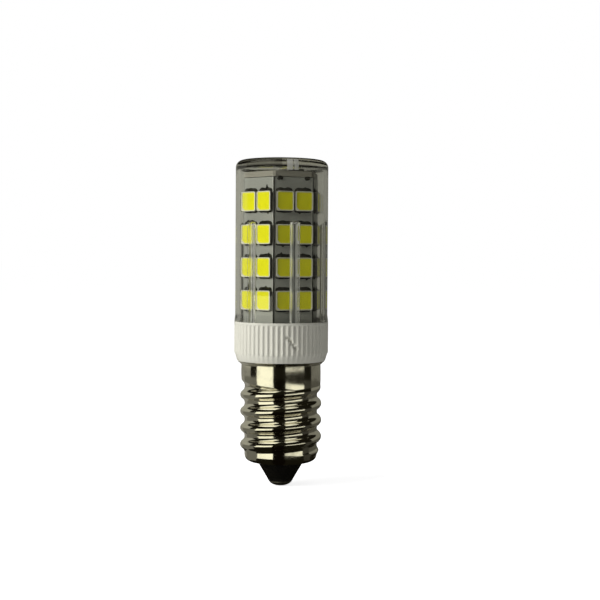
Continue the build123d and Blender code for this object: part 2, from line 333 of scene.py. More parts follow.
def clear_plastic(name, bending):
    """Clear moulded plastic, with painted shade as a darker tint in the thick disc on top.

    The crowns of the ribs are milky, with a painted glint on one side and a painted dark line in the middle,
    and the disc's wall has two pale marks of painted reflection. Shadow and diffuse rays go straight through,
    so that light reaches what is inside.
    """
    material, nodes = new_material(name)
    place = nodes.coordinates()
    flow = nodes.noise(nodes.stretched(place, (260, 260, 60)), 1, 2)
    scuffs = nodes.spread(nodes.noise(place, 900, 5, 0.6), 0.55, 0.85, 0.0, 0.09)
    height = nodes.axis(place, "Z")
    # Painted shade: a darker tint in the thick disc on top stands in for the dark band seen there.
    painted_shade_disc = nodes.spread(height, COVER_CEILING, COVER_CEILING + 0.4 * MM, 0, 1)
    ribbed = nodes.spread(height, RIB_TOP - 0.3 * MM, RIB_TOP, 1, 0)
    tone = nodes.blend(painted_shade_disc, (0.96, 0.965, 0.95), (0.44, 0.43, 0.36))
    clear = principled(
        nodes, tone, scuffs, Transmission_Weight=1.0, IOR=bending, Normal=nodes.bump(flow, 0.08, 0.05 * MM),
    )
    out = (nodes.axis(place, "X") ** 2 + nodes.axis(place, "Y") ** 2) ** 0.5
    milk = nodes.spread(out, *MILK_FADE, 0.55, 0) * ribbed
    rib_face = nodes.spread(out, *RIB_FACE, 1, 0) * ribbed
    across = nodes.sixth(place, RIB_FIRST) - 0.5
    # Painted glint: a bright translucent line along one side of each rib, where light is refracted.
    painted_glint = nodes.spread(abs(across - PAINTED_GLINT_PLACE), 0.012, 0.030, 0.95, 0) * rib_face
    # Painted shade: a dark line down the middle of each rib.
    painted_dark_line = nodes.spread(abs(across - PAINTED_DARK_LINE_PLACE), 0.006, 0.014, 0.85, 0) * rib_face
    # Painted reflections: two pale upright marks on the outer wall of the disc.
    first, second = (
        nodes.spread(abs(nodes.turn(place) - angle), whole, gone, 0.7, 0) for angle, whole, gone in PAINTED_REFLECTION_MARKS
    )
    disc_wall = nodes.spread(height, PAINTED_REFLECTIONS_LOW, PAINTED_REFLECTIONS_LOW + 0.2 * MM, 0, 1)
    disc_wall = disc_wall * nodes.spread(out, PAINTED_REFLECTIONS_OUT, PAINTED_REFLECTIONS_OUT + 0.1 * MM, 0, 1)
    marks = first.higher(second) * disc_wall
    mixed = clear
    # Lays the milk, the painted glint, the painted dark line and the painted reflections over the clear plastic.
    for kind, share, level in (
        ("Diffuse", milk, 0.46), ("Translucent", painted_glint, 0.95), ("Diffuse", painted_dark_line, 0.02), ("Diffuse", marks, 0.46),
    ):
        haze = nodes.add(f"ShaderNodeBsdf{kind}", {}, {"Color": (level, level, level * 0.9, 1)})
        mixed = nodes.add("ShaderNodeMixShader", {}, {0: share, 1: mixed, 2: haze})
    for ray, level in (("Is Diffuse Ray", 0.70), ("Is Shadow Ray", 0.99)):
        path = nodes.add("ShaderNodeLightPath", output=ray)
        straight = nodes.add("ShaderNodeBsdfTransparent", {}, {"Color": (level, level, level * 0.98, 1)})
        mixed = nodes.add("ShaderNodeMixShader", {}, {0: path, 1: mixed, 2: straight})
    nodes.surface(mixed)
    return material


# Shares of the way across a face between which the painted highlight and painted shadow strips at a fold start or
# end.
FOLD_PAINTED_HIGHLIGHT = (0.955, 0.970)
FOLD_PAINTED_SHADOW = (0.020, 0.040)


def board_lacquer(name, colour, folded=False):
    """Pale lacquer over tracks: faint raised tracks, specks, and a painted highlight strip and a painted shadow
    strip along any folds.
    """
    material, nodes = new_material(name)
    place = nodes.coordinates()
    tone = mottled(nodes, place, colour, 330, 0.10)
    specks = nodes.spread(nodes.noise(place, 3000, 2), 0.70, 0.78, 0, 0.5)
    tone = nodes.blend(specks, tone, [part * 0.55 for part in colour])
    if folded:
        share = nodes.sixth(place, FACET_FIRST)
        # Painted highlight on the lit edge beside each fold, then painted shadow in its groove.
        tone = nodes.blend(nodes.spread(share, *FOLD_PAINTED_HIGHLIGHT, 0, 0.8), tone, [part * 1.6 for part in colour])
        tone = nodes.blend(nodes.spread(share, *FOLD_PAINTED_SHADOW, 0.85, 0), tone, [part * 0.2 for part in colour])
    tracks = nodes.noise(nodes.stretched(place, (300, 300, 1500)), 1, 2)
    relief = nodes.bump(nodes.spread(tracks, 0.47, 0.53, 0, 1), 0.25, 0.05 * MM)
    nodes.surface(principled(nodes, tone, 0.45, Normal=relief, Specular_IOR_Level=0.9))
    return material


def diode_pad(name, colour, case):
    """Phosphor under clear resin: strong yellow, paler towards the case, with a fine grain."""
    material, nodes = new_material(name)
    sheet = nodes.coordinates("UV")
    across = abs(nodes.axis(sheet, "X") - 0.5) * 2
    along = abs(nodes.axis(sheet, "Y") - 0.5) * 2
    rim = nodes.spread(across.higher(along), 0.80, 1.0, 0, 0.75)
    place = nodes.coordinates()
    grain = nodes.noise(place, 4200, 3)
    tone = mottled(nodes, place, colour, 700, 0.07)
    tone = nodes.blend(rim, tone, [0.8 * a + 0.2 * b for a, b in zip(colour, case)])
    tone = nodes.blend(nodes.spread(grain, 0.62, 0.8, 0, 0.35), tone, [part * 0.7 for part in colour])
    nodes.surface(
        principled(nodes, tone, 0.45, Normal=nodes.bump(grain, 0.12, 0.05 * MM), Specular_IOR_Level=0.5)
    )
    return material


def diode_housing(name, colour, side):
    """White moulding whose rim is clean and whose side walls are darkened with painted shade."""
    material, nodes = new_material(name)
    rim = nodes.axis(nodes.coordinates("UV"), "X")
    place = nodes.coordinates()
    tone = nodes.blend(nodes.spread(rim, 0.2, 0.9, 0, 1), side, mottled(nodes, place, colour, 700, 0.05))
    nodes.surface(principled(nodes, tone, 0.4, Normal=nodes.bump(nodes.noise(place, 2600), 0.06, 0.05 * MM)))
    return material


def dull_solder(name):
    """Solder under dark flux, uneven and half shiny."""
    material, nodes = new_material(name)
    place = nodes.coordinates()
    lumps = nodes.noise(place, 1500, 4)
    tone = nodes.blend(nodes.spread(lumps, 0.45, 0.8, 0, 1), (0.006, 0.0055, 0.004), (0.035, 0.033, 0.025))
    nodes.surface(principled(nodes, tone, 0.5, Normal=nodes.bump(lumps, 0.5, 0.08 * MM)))
    return material


def board_edge(name, face, edge):
    """Small board whose cut sides show its glass cloth and whose flats are lacquered."""
    material, nodes = new_material(name)
    place = nodes.coordinates()
    facing = nodes.add("ShaderNodeNewGeometry", output="Normal")
    flat = nodes.spread(abs(nodes.axis(facing, "Z")), 0.4, 0.8, 0, 1)
    cloth = nodes.noise(nodes.stretched(place, (600, 600, 5200)), 1, 3)
    side = nodes.blend(cloth, [part * 0.8 for part in edge], [part * 1.12 for part in edge])
    tone = nodes.blend(flat, side, face)
    nodes.surface(principled(nodes, tone, 0.5, Normal=nodes.bump(cloth, 0.3, 0.04 * MM)))
    return material


def banded_part(name, ground, band, spacing, share, axis):
    """Small component with rings of another colour along one axis."""
    material, nodes = new_material(name)
    place = nodes.coordinates()
    saw = (nodes.axis(place, axis) * (1 / spacing)).fraction()
    ring = nodes.spread(abs(saw - 0.5), share / 2 - 0.02, share / 2 + 0.02, 1, 0)
    tone = nodes.blend(ring, mottled(nodes, place, ground, 500, 0.08), band)
    nodes.surface(principled(nodes, tone, 0.35, Normal=nodes.bump(nodes.noise(place, 1800), 0.08, 0.05 * MM)))
    return material


def smooth_step(value, low, high):
    """Rises from 0 at low to 1 at high along three t squared less two t cubed."""
    share = np.clip((value - low) / (high - low), 0, 1)
    return share * share * (3 - 2 * share)


def grid_faces(rows, columns, rows_loop, columns_loop=True):
    """Four sided faces between the points of a grid, which may close on itself either way."""
    index = np.arange(rows * columns).reshape(rows, columns)
    down = index if rows_loop else index[:-1]
    up = np.roll(index, -1, 0) if rows_loop else index[1:]
    if columns_loop:
        right_down, right_up = np.roll(down, -1, 1), np.roll(up, -1, 1)
    else:
        right_down, right_up = down[:, 1:], up[:, 1:]
        down, up = down[:, :-1], up[:, :-1]
    return np.stack([down, right_down, right_up, up], -1).reshape(-1, 4)


def new_piece(name, points, faces, material, node, uv=None, crease=40):
    """Mesh piece on the bulb's body, its poles merged, that stands for one node of the frame."""
    mesh = bpy.data.meshes.new(name)
    mesh.from_pydata(points.reshape(-1, 3).tolist(), [], faces.tolist())
    if uv is not None:
        layer = mesh.uv_layers.new(name="pad")
        layer.data.foreach_set("uv", uv.reshape(-1, 2)[faces.reshape(-1)].reshape(-1))
    shape = bmesh.new()
    shape.from_mesh(mesh)
    bmesh.ops.remove_doubles(shape, verts=shape.verts, dist=0.0002 * MM)
    shape.to_mesh(mesh)
    shape.free()
    mesh.shade_smooth()
    mesh.set_sharp_from_angle(angle=math.radians(crease))
    mesh.materials.append(material)
    piece = bpy.data.objects.new(name, mesh)
    bpy.context.scene.collection.objects.link(piece)
    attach(piece, BODY)
    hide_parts(node)


def turned_piece(name, radius, height, turn, material, node, closed=True, crease=40):
    """Turned piece: each row's radius and height, carried to every angle about Z, its profile closed or not."""
    radius, height, angles = np.broadcast_arrays(radius, height, np.radians(turn))
    points = np.stack([radius * np.cos(angles), radius * np.sin(angles), height], -1)
    new_piece(name, points, grid_faces(*radius.shape, closed), material, node, crease=crease)


def round_edge(centre, radius, start, stop, count):
    """Radius and height of points along an arc, its angles in degrees from the outward direction."""
    turn = np.radians(np.linspace(start, stop, count))
    return np.stack([centre[0] + radius * np.cos(turn), centre[1] + radius * np.sin(turn)], -1)


def paint(node, material):
    """Gives a node of the frame a finished material in each of its slots."""
    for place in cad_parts[node].material_slots:
        place.material = material


THREAD_ZERO = 5.69 * MM
THREAD_FADES = (-90, 90, 1260, 1620)
THREAD_SINK = 0.28 * MM
SHELL_FOOT = 1.1 * MM
SHELL_MOUTH = 4.02 * MM
NECK_EDGE = 17.66 * MM
NECK_LEAN = 0.705 * MM
NECK_DIP = 0.25 * MM
NECK_RISE = (0.95 * MM, 0.10 * MM)
NECK_BARREL = (0.05 * MM, 0.035 * MM)
NECK_STEP = (18.0 * MM, 18.6 * MM)
NECK_CLOSE = 0.06 * MM
THREAD_LIFT = 0.625 * MM
FOOT_BEVEL = 0.75 * MM
SHELL_FLARE = (
    (6.74, 20.80), (6.76, 20.86), (6.88, 20.90), (6.98, 20.97), (7.03, 21.05), (7.12, 21.12), (7.26, 21.22),
    (7.37, 21.34), (7.42, 21.44), (7.42, 21.50), (6.90, 21.50),
)


def thread_radius(settings, turn, height):
    """Radius of the rolled thread.

    Each turn of the ridge is a crest arc and two root arcs of one radius that meet halfway down the
    flanks. The ridge swells in over its first half turn and sinks over its last whole turn, and where
    turns overlap the higher one counts.
    """
    depth = settings.crest - settings.root
    half = settings.pitch / 2
    arc = (half**2 + depth**2) / (4 * depth)
    swell_from, swell_to, sink_from, sink_to = THREAD_FADES
    best = np.full(np.broadcast(turn, height).shape, settings.root)
    for lap in range(-1, 6):
        angle = turn + 360 * lap
        away = np.abs(height - THREAD_ZERO - settings.pitch * angle / 360)
        crest = settings.crest - arc + np.sqrt(np.maximum(arc**2 - away**2, 0))
        rest = np.clip(half - away, 0, half)
        flank = settings.root + arc - np.sqrt(arc**2 - rest**2)
        shape = np.where(away < half / 2, crest, flank) - settings.root
        share = smooth_step(angle, swell_from, swell_to) * (angle < sink_to)
        sink = THREAD_SINK * smooth_step(angle, sink_from, sink_to)
        best = np.maximum(best, settings.root + shape * share * (1 - sink / depth))
    return best


def shell_radius(settings, turn, height):
    """Outer radius of the shell: the thread, or the neck where that is higher, the edge eased.

    The neck is a slight barrel: it draws in with the square of the way from its middle to its ends.
    """
    side = np.radians(turn)
    edge = NECK_EDGE - NECK_LEAN * np.cos(side) + NECK_DIP * np.sin(side)
    share = smooth_step(height, edge - NECK_RISE[0], edge - NECK_RISE[1])
    top = top_of("screw_shell")
    middle = (edge + top) / 2
    barrel = np.where(height > middle, NECK_BARREL[1], NECK_BARREL[0]) * ((height - middle) / (top - middle)) ** 2
    neck = settings.root + (settings.neck - barrel - settings.root) * share
    thread = thread_radius(settings, turn, height)
    ease = 0.10 * MM
    gap = np.clip(0.5 + 0.5 * (neck - thread) / ease, 0, 1)
    return neck * gap + thread * (1 - gap) + ease * gap * (1 - gap) * 0.5


class BULB_OT_shell(bpy.types.Operator):
    """Rolls the screw shell: rounded foot, thread that fades at both ends, neck and inner wall"""

    bl_idname = "fridge_bulb.shell"
    bl_label = "Screw shell"

    def execute(self, context):
        settings = context.scene.bulb_shell
        low, top = bottom_of("screw_shell"), top_of("screw_shell")
        turn = np.arange(0, 360, 1.5)
        foot = round_edge((settings.root - SHELL_FOOT, low + SHELL_FOOT), SHELL_FOOT, -90, 0, 10)
        height = np.linspace(low + SHELL_FOOT, top, 250)[1:, None]
        wall = shell_radius(settings, turn[None, :], height)
        lift = np.clip((height - low - SHELL_FOOT) / THREAD_LIFT, 0, 1)
        wall = settings.root + (wall - settings.root) * lift
        sheet = settings.sheet
        flare = np.array(SHELL_FLARE) * MM
        inner = np.array([
            (settings.neck - NECK_CLOSE - sheet, top),
            (settings.neck - sheet, NECK_STEP[1]),
            (settings.root - sheet, NECK_STEP[0]),
            (settings.root - sheet, low + sheet + FOOT_BEVEL),
            (settings.root - sheet - FOOT_BEVEL, low + sheet),
            (SHELL_MOUTH, low + sheet),
            (SHELL_MOUTH, low),
        ])
        rest = np.vstack([flare, inner])
        rows = [np.broadcast_to(part, (len(part), len(turn))) for part in (foot[:, :1], wall, rest[:, :1])]
        radius, rise = np.vstack(rows), np.vstack([foot[:, 1:], height, rest[:, 1:]])
        plate = nickel_plate("nickel plate", settings.plate, 0.08, 0.25)
        turned_piece("rolled_shell", radius, rise, turn, plate, "screw_shell", crease=50)
        return {"FINISHED"}


COLLAR_FOOT = ((6.90, 21.46), (7.38, 21.41), (7.46, 21.44), (7.52, 21.52))
COLLAR_INSIDE = (
    (7.5, 28.1), (7.5, 25.4), (6.95, 25.4), (6.95, 24.0), (5.7, 24.0), (5.7, 19.2), (6.48, 19.2), (6.48, 20.75),
)
COLLAR_EDGE = 0.12 * MM
BAND_ROUND = 0.8 * MM
BAND_TOP = 23.05 * MM
FLUTE_LOW = 22.42 * MM
FLUTE_HIGH = 27.8 * MM
FLUTE_FIRST = -88.07
FLUTE_VALLEY = (0.12, 0.75)
FLUTE_RUNOUT = (0.45 * MM, 0.35 * MM)
NICK_START = (1.06 * MM, 25.68 * MM)
NICK_END = (2.63 * MM, 23.93 * MM)
NICK_DEPTH = 0.38 * MM
NICK_WIDTH = 0.23 * MM
NICK_SWAY = (0.12 * MM, 0.13 * MM)


def flute_dip(settings, turn, height):
    """How far the grip stands back: narrow ridges, wide hollow valleys, both run out at their ends."""
    step = 360 / settings.flutes
    share = np.abs(((turn - FLUTE_FIRST) / step + 0.5) % 1 - 0.5) * 2
    valley = smooth_step(share, *FLUTE_VALLEY) * (0.85 + 0.15 * share)
    ends = smooth_step(height, FLUTE_LOW, FLUTE_LOW + FLUTE_RUNOUT[0])
    ends = ends * (1 - smooth_step(height, FLUTE_HIGH - FLUTE_RUNOUT[1], FLUTE_HIGH))
    return settings.depth * valley * ends


def nick_dip(settings, turn, height):
    """A slanted scratch across the ridges: a round groove on the line between two places, swayed by two sines."""
    across = settings.radius * np.sin(np.radians(turn + 90))
    front = np.cos(np.radians(turn + 90)) > 0
    start, end = np.array(NICK_START), np.array(NICK_END)
    line = end - start
    share = ((across - start[0]) * line[0] + (height - start[1]) * line[1]) / (line @ line)
    held = np.clip(share, 0, 1)
    sway = NICK_SWAY[0] * np.sin(held * 2 * np.pi) + NICK_SWAY[1] * np.sin(held * 7 * np.pi)
    away = np.hypot(across - start[0] - held * line[0] - sway, height - start[1] - held * line[1])
    return NICK_DEPTH * np.exp(-((away / NICK_WIDTH) ** 2)) * front


class BULB_OT_collar(bpy.types.Operator):
    """Turns the collar: fluted grip, smooth rounded lower band, socket and spigot"""

    bl_idname = "fridge_bulb.collar"
    bl_label = "Grip collar"

    def execute(self, context):
        settings = context.scene.bulb_collar
        top = top_of("collar")
        radius = settings.radius
        turn = np.arange(0, 360, 0.5)
        lower, inside = np.array(COLLAR_FOOT) * MM, np.array(COLLAR_INSIDE) * MM
        band = round_edge((radius - BAND_ROUND, BAND_TOP), BAND_ROUND, -35, 0, 8)
        grip = np.linspace(BAND_TOP, top - COLLAR_EDGE, 44)[1:]
        grip = np.stack([np.full(len(grip), radius), grip], -1)
        rim = round_edge((radius - COLLAR_EDGE, top - COLLAR_EDGE), COLLAR_EDGE, 20, 90, 4)
        profile = np.vstack([lower, band, grip, rim, inside])
        place = turn[None, :], profile[:, 1:]
        dip = flute_dip(settings, *place) + nick_dip(settings, *place)
        dip[-len(inside):] = 0
        plastic = plain_plastic("white collar plastic", settings.colour, 0.42)
        turned_piece("fluted_collar", profile[:, :1] - dip, profile[:, 1:], turn, plastic, "collar", crease=50)
        return {"FINISHED"}


RIB_COUNT = 6
RIB_SLOPE = 0.6 * MM
RIB_FOOT = 0.15 * MM
COVER_EDGE = 1.2 * MM
COVER_CROWN = 0.22 * MM
CEILING_ROUND = 0.5 * MM
SPIGOT_RADIUS = 7.46 * MM
SEAT_GAP = 0.01 * MM
FOOT_SPREAD = 0.12 * MM
FOOT_RISE = 1.3 * MM


def cover_angles(settings):
    """Angles of the columns round the cover, drawn together at the sides of each rib."""
    half = math.degrees(settings.rib_width / 2 / settings.inside)
    oval = half * np.sin(np.radians(np.linspace(0, 90, 13)))[1:]
    open_side = np.linspace(half, 30, 11)[1:-1]
    side = np.concatenate([oval, half * np.array([1.02]), open_side])
    sector = np.concatenate([-side[::-1], [0], side, [30]])
    return (RIB_FIRST + sector[None, :] + 60 * np.arange(RIB_COUNT)[:, None]).ravel()


def rib_rise(settings, turn, height):
    """How far the ribs stand inwards: half an oval round each rib's line, sloped off at its top."""
    half = math.degrees(settings.rib_width / 2 / settings.inside)
    away = np.abs((turn - RIB_FIRST + 30) % 60 - 30) / half
    side = np.sqrt(np.clip(1 - away**2, 0, 1))
    ends = 1 - smooth_step(height, RIB_TOP - RIB_SLOPE, RIB_TOP)
    return settings.rib_height * side * ends


class BULB_OT_cover(bpy.types.Operator):
    """Moulds the clear cover: spreading foot, six ribs inside, round edge, closed top crowned to a parabola"""

    bl_idname = "fridge_bulb.cover"
    bl_label = "Clear cover"

    def execute(self, context):
        settings = context.scene.bulb_cover
        top, low = top_of("clear_cover"), bottom_of("clear_cover")
        seat = top_of("collar") + SEAT_GAP
        radius, inside = settings.radius, settings.inside
        turn = cover_angles(settings)
        rim = top - COVER_CROWN
        foot = np.array([(SPIGOT_RADIUS, low), (SPIGOT_RADIUS, seat), (radius + FOOT_SPREAD, seat)])
        flare = np.linspace(0, 1, 8)[1:]
        flare = np.stack([radius + FOOT_SPREAD * (1 - smooth_step(flare, 0, 1)), seat + FOOT_RISE * flare], -1)
        side = np.linspace(seat + FOOT_RISE, rim - COVER_EDGE, 26)[1:-1]
        side = np.stack([np.full(len(side), radius), side], -1)
        edge = round_edge((radius - COVER_EDGE, rim - COVER_EDGE), COVER_EDGE, 0, 84, 14)
        crown = np.linspace(edge[-1, 0], 0, 12)[1:]
        crown = np.stack([crown, top - (top - edge[-1, 1]) * (crown / edge[-1, 0]) ** 2], -1)
        bend_centre = np.array([inside, COVER_CEILING]) - CEILING_ROUND
        roof = np.linspace(0, bend_centre[0], 8)
        roof = np.stack([roof, np.full(len(roof), COVER_CEILING)], -1)
        bend = round_edge(bend_centre, CEILING_ROUND, 90, 0, 9)[1:]
        wall = np.concatenate([
            np.linspace(bend_centre[1], RIB_TOP, 8)[1:],
            np.linspace(RIB_TOP, RIB_TOP - RIB_SLOPE, 9)[1:],
            np.linspace(RIB_TOP - RIB_SLOPE, seat, 14)[1:],
            np.linspace(seat, seat - RIB_FOOT, 5)[1:],
            [low],
        ])
        wall = np.stack([np.full(len(wall), inside), wall], -1)
        profile = np.vstack([foot, flare, side, edge, crown, roof, bend, wall])
        rise = rib_rise(settings, turn[None, :], profile[:, 1:])
        rise[:-len(wall)] = 0
        rise *= smooth_step(profile[:, 1:], seat - RIB_FOOT, seat)
        plastic = clear_plastic("clear cover plastic", settings.bending)
        turned_piece("moulded_cover", profile[:, :1] - rise, profile[:, 1:], turn, plastic, "clear_cover")
        return {"FINISHED"}


CONE_FOOT = (2.05 * MM, 0.95 * MM)
CONE_EDGE = (1.98 * MM, 1.02 * MM)
CONE_EDGE_ROUND = 0.12 * MM
INSULATOR_INSIDE = ((4.02, 4.55), (5.0, 4.55), (5.5, 4.95), (5.5, 5.4), (0.7, 5.4), (0.7, 0.95))
CONTACT_RADIUS = 1.95 * MM
CONTACT_OVAL = (2.0868 * MM, 1.1696 * MM)
CONTACT_STEM = ((1.95, 0.94), (0.7, 0.94), (0.7, 5.9), (0.34, 5.9), (0.34, 2.6), (0, 2.6))


class BULB_OT_tip(bpy.types.Operator):
    """Turns the black insulator, a straight cone, and the contact, whose dome is the end of an oval"""

    bl_idname = "fridge_bulb.tip"
    bl_label = "Insulator and contact"

    def execute(self, context):
        turn = np.arange(0, 360, 3)
        cone = np.linspace(CONE_FOOT, (SHELL_MOUTH, bottom_of("screw_shell")), 20)
        rim = round_edge(CONE_EDGE, CONE_EDGE_ROUND, -90, -20, 5)
        profile = np.vstack([rim, cone[1:], np.array(INSULATOR_INSIDE) * MM])
        black = plain_plastic("black insulator", (0.006, 0.0055, 0.004), 0.22, grain=1500, relief=0.10)
        turned_piece("bell_insulator", profile[:, :1], profile[:, 1:], turn, black, "shell_insulator")
        across = np.linspace(0, CONTACT_RADIUS, 14)
        dome = np.stack([across, CONTACT_OVAL[1] * (1 - np.sqrt(1 - (across / CONTACT_OVAL[0]) ** 2))], -1)
        profile = np.vstack([dome, np.array(CONTACT_STEM) * MM])
        metal = nickel_plate("worn contact metal", (0.62, 0.60, 0.52), 0.38, 0.45)
        turned_piece("domed_contact", profile[:, :1], profile[:, 1:], turn, metal, "center_contact", closed=False)
        return {"FINISHED"}


class BULB_OT_boards(bpy.types.Operator):
    """Finishes the folded lamp board, its top and the solder that joins them"""

    bl_idname = "fridge_bulb.boards"
    bl_label = "Lamp boards"

    def execute(self, context):
        lamps = context.scene.bulb_lamps
        paint("led_board", board_lacquer("board lacquer", lamps.board, folded=True))
        paint("top_board", board_edge("top board", lamps.board, (0.30, 0.285, 0.23)))
        chance = np.random.default_rng(7)
        seats = [(facet_frame(index), side * BEAD_STEP, BEAD_HEIGHT) for index in (0, 2, 4) for side in (-1, 1)]
        points, faces = copies([solder_bead(chance) for _ in seats], seats, False, True)
        new_piece("solder_beads", points, faces, dull_solder("board solder"), "top_board_solder", crease=60)
        return {"FINISHED"}


FACET_OUT = 5.8 * MM
LED_GAP = 0.2 * MM
LED_THICK = 0.6 * MM
MARK_CUT = 0.5 * MM
CASE_SHADED_SIDE_ROWS = 3
CASE_BEVEL = 0.05 * MM
CUP_WALL = np.array([0.20, 0.15]) * MM
CUP_SLOPE = 0.06 * MM
CUP_FLOOR = (0.36 * MM, 0.30 * MM)
PAD_GAP = 0.01 * MM
MOUND_LOW_REACH = 0.28 * MM
MOUND_HIGH_REACH = 0.60 * MM
MOUND_HEIGHT = 0.34 * MM
MOUND_OVERLAP = 0.02 * MM
ROWS = (31.8 * MM, 37.27 * MM, 42.73 * MM, 48.2 * MM)
TOP_LED_ANGLES = (-57.0, 63.0, 183.0)
TOP_LED_REACH = 2.8 * MM
BEAD_STEP = 2.3 * MM
BEAD_HEIGHT = 51.98 * MM
BEAD_WIDE = 0.44 * MM
BEAD_TALL = 0.34 * MM
BEAD_THICK = 0.25 * MM


def box_outline(half_width, half_height, power, angles, cut=0.0):
    """Rounded box seen from above: the curve where the powers of x and y, each by its half size, add up to one.

    A cut takes its lower left corner off along a slanted line.
    """
    across, along = np.cos(angles), np.sin(angles)
    reach = ((np.abs(across) / half_width) ** power + (np.abs(along) / half_height) ** power) ** (-1 / power)
    if cut:
        slant = np.maximum(-(across + along), 1e-9)
        reach = np.minimum(reach, (half_width + half_height - cut) / slant)
    return np.stack([across * reach, along * reach], -1)


def stacked(outlines, heights):
    """Points of one outline over another, each at its height."""
    return np.stack([
        np.concatenate([outline, np.full((len(outline), 1), height)], -1)
        for outline, height in zip(outlines, heights)
    ])


def diode_case(lamps):
    """Case of one diode lying on its back: bevelled box, flat rim and a sloped cup for the phosphor."""
    angles = np.radians(np.arange(0, 360, 7.5))
    half = np.array([lamps.width, lamps.height]) / 2
    none = np.zeros((len(angles), 2))
    outlines = [
        none,
        box_outline(*half, 22, angles),
        box_outline(*half, 22, angles),
        box_outline(*(half - CASE_BEVEL), 18, angles),
        box_outline(*(half - CUP_WALL), 16, angles, MARK_CUT),
        box_outline(*(half - CUP_WALL - CUP_SLOPE), 14, angles, MARK_CUT),
        none,
    ]
    return stacked(outlines, [0, 0, LED_THICK - CASE_BEVEL, LED_THICK, LED_THICK, *CUP_FLOOR])


def diode_phosphor(lamps):
    """Phosphor of one diode: a shallow bowl of resin that fills the cup to just under its rim."""
    angles = np.radians(np.arange(0, 360, 7.5))
    half = np.array([lamps.width, lamps.height]) / 2
    full = box_outline(*(half - CUP_WALL - PAD_GAP), 14, angles, MARK_CUT)
    shares = np.array([0, 0.85, 0.97, 1.0, 0.97, 0.85, 0.6, 0.3, 0])
    heights = np.array([0.32, 0.32, 0.34, 0.53, 0.55, 0.53, 0.515, 0.51, 0.51]) * MM
    return stacked([full * share for share in shares], heights)


def solder_mound(lamps, chance, reach, direction):
    """Solder fillet at one end of a diode, a three sided section carried along the end.

    Its reach is full but for the ends, wanders by three sines and has one bell shaped spike.
    """
    along = np.linspace(-1, 1, 25)
    body = (1 - np.abs(along) ** 9) * (0.80 + 0.20 * np.cos(along * 1.3))
    wander = sum(chance.uniform(0.02, 0.07) * np.sin(along * k * 3 + chance.uniform(0, 6.3)) for k in (1, 2, 3))
    spike = chance.uniform(0, 1.0) ** 3 * 1.3 * np.exp(-(((along - chance.uniform(-0.6, 0.6)) / 0.11) ** 2))
    out = reach * body * (1 + wander + spike)
    high = MOUND_HEIGHT * (1 - np.abs(along) ** 5)
    edge = direction * (lamps.height / 2 - MOUND_OVERLAP)
    across = along * lamps.width * 0.5
    none = np.zeros(len(along))
    section = [(none, none), (out, none), (out * 0.55, high * 0.30), (none, high)]
    rows = [np.stack([across, edge + direction * y, z], -1) for y, z in section]
    return np.stack(rows if direction > 0 else rows[::-1])


def solder_bead(chance):
    """Solder bead lying on its back: an uneven oval that rises to a dome along a quarter of a circle."""
    angles = np.radians(np.arange(0, 360, 12))
    uneven = sum(chance.uniform(0.05, 0.12) * np.cos(k * angles + chance.uniform(0, 6.3)) for k in (2, 3))
    full = box_outline(BEAD_WIDE, BEAD_TALL, 2.5, angles) * (1 + uneven)[:, None]
    slope = np.radians([0, 12, 28, 46, 66, 90])
    outlines = [np.zeros_like(full)] + [full * share for share in np.cos(slope)]
    return stacked(outlines, [0, *(BEAD_THICK * np.sin(slope))])


def directions(angle):
    """The out, across and up directions at one angle about Z."""
    turn = math.radians(angle)
    out, across = [math.cos(turn), math.sin(turn), 0], [-math.sin(turn), math.cos(turn), 0]
    return np.array(out), np.array(across), np.array([0, 0, 1.0])


def facet_frame(index):
    """Origin of one outer face of the column, and its across, up and out directions."""
    out, across, up = directions(FACET_FIRST + 60 * index)
    return out * FACET_OUT, across, up, out


def top_frame(angle):
    """Origin of one diode seat on the top board, and its directions in the same order."""
    out, across, up = directions(angle)
    return out * TOP_LED_REACH + up * top_of("top_board"), out, across, up


def diode_seats(lamps, index):
    """Frame, side step and height of each diode on one face of the column, or on the top for index 6."""
    if index == 6:
        return [(top_frame(angle), 0.0, 0.0) for angle in TOP_LED_ANGLES]
    step = (lamps.width + LED_GAP) / 2
    return [(facet_frame(index), side * step, row) for row in ROWS for side in (-1, 1)]


def seated(shape, seat):
    """A shape that lies on its back, carried to its seat."""
    (origin, across, up, out), side, height = seat
    return origin + (shape[..., :1] + side) * across + (shape[..., 1:2] + height) * up + shape[..., 2:] * out


def copies(shapes, seats, rows_loop, columns_loop):
    """Points and faces of one shape at each seat, all on grids of one size."""
    rows, columns = shapes[0].shape[:2]
    points = np.stack([seated(shape, seat) for shape, seat in zip(shapes, seats)])
    faces = grid_faces(rows, columns, rows_loop, columns_loop)
    shift = rows * columns * np.arange(len(seats))[:, None, None]
    return points, (faces[None] + shift).reshape(-1, 4)


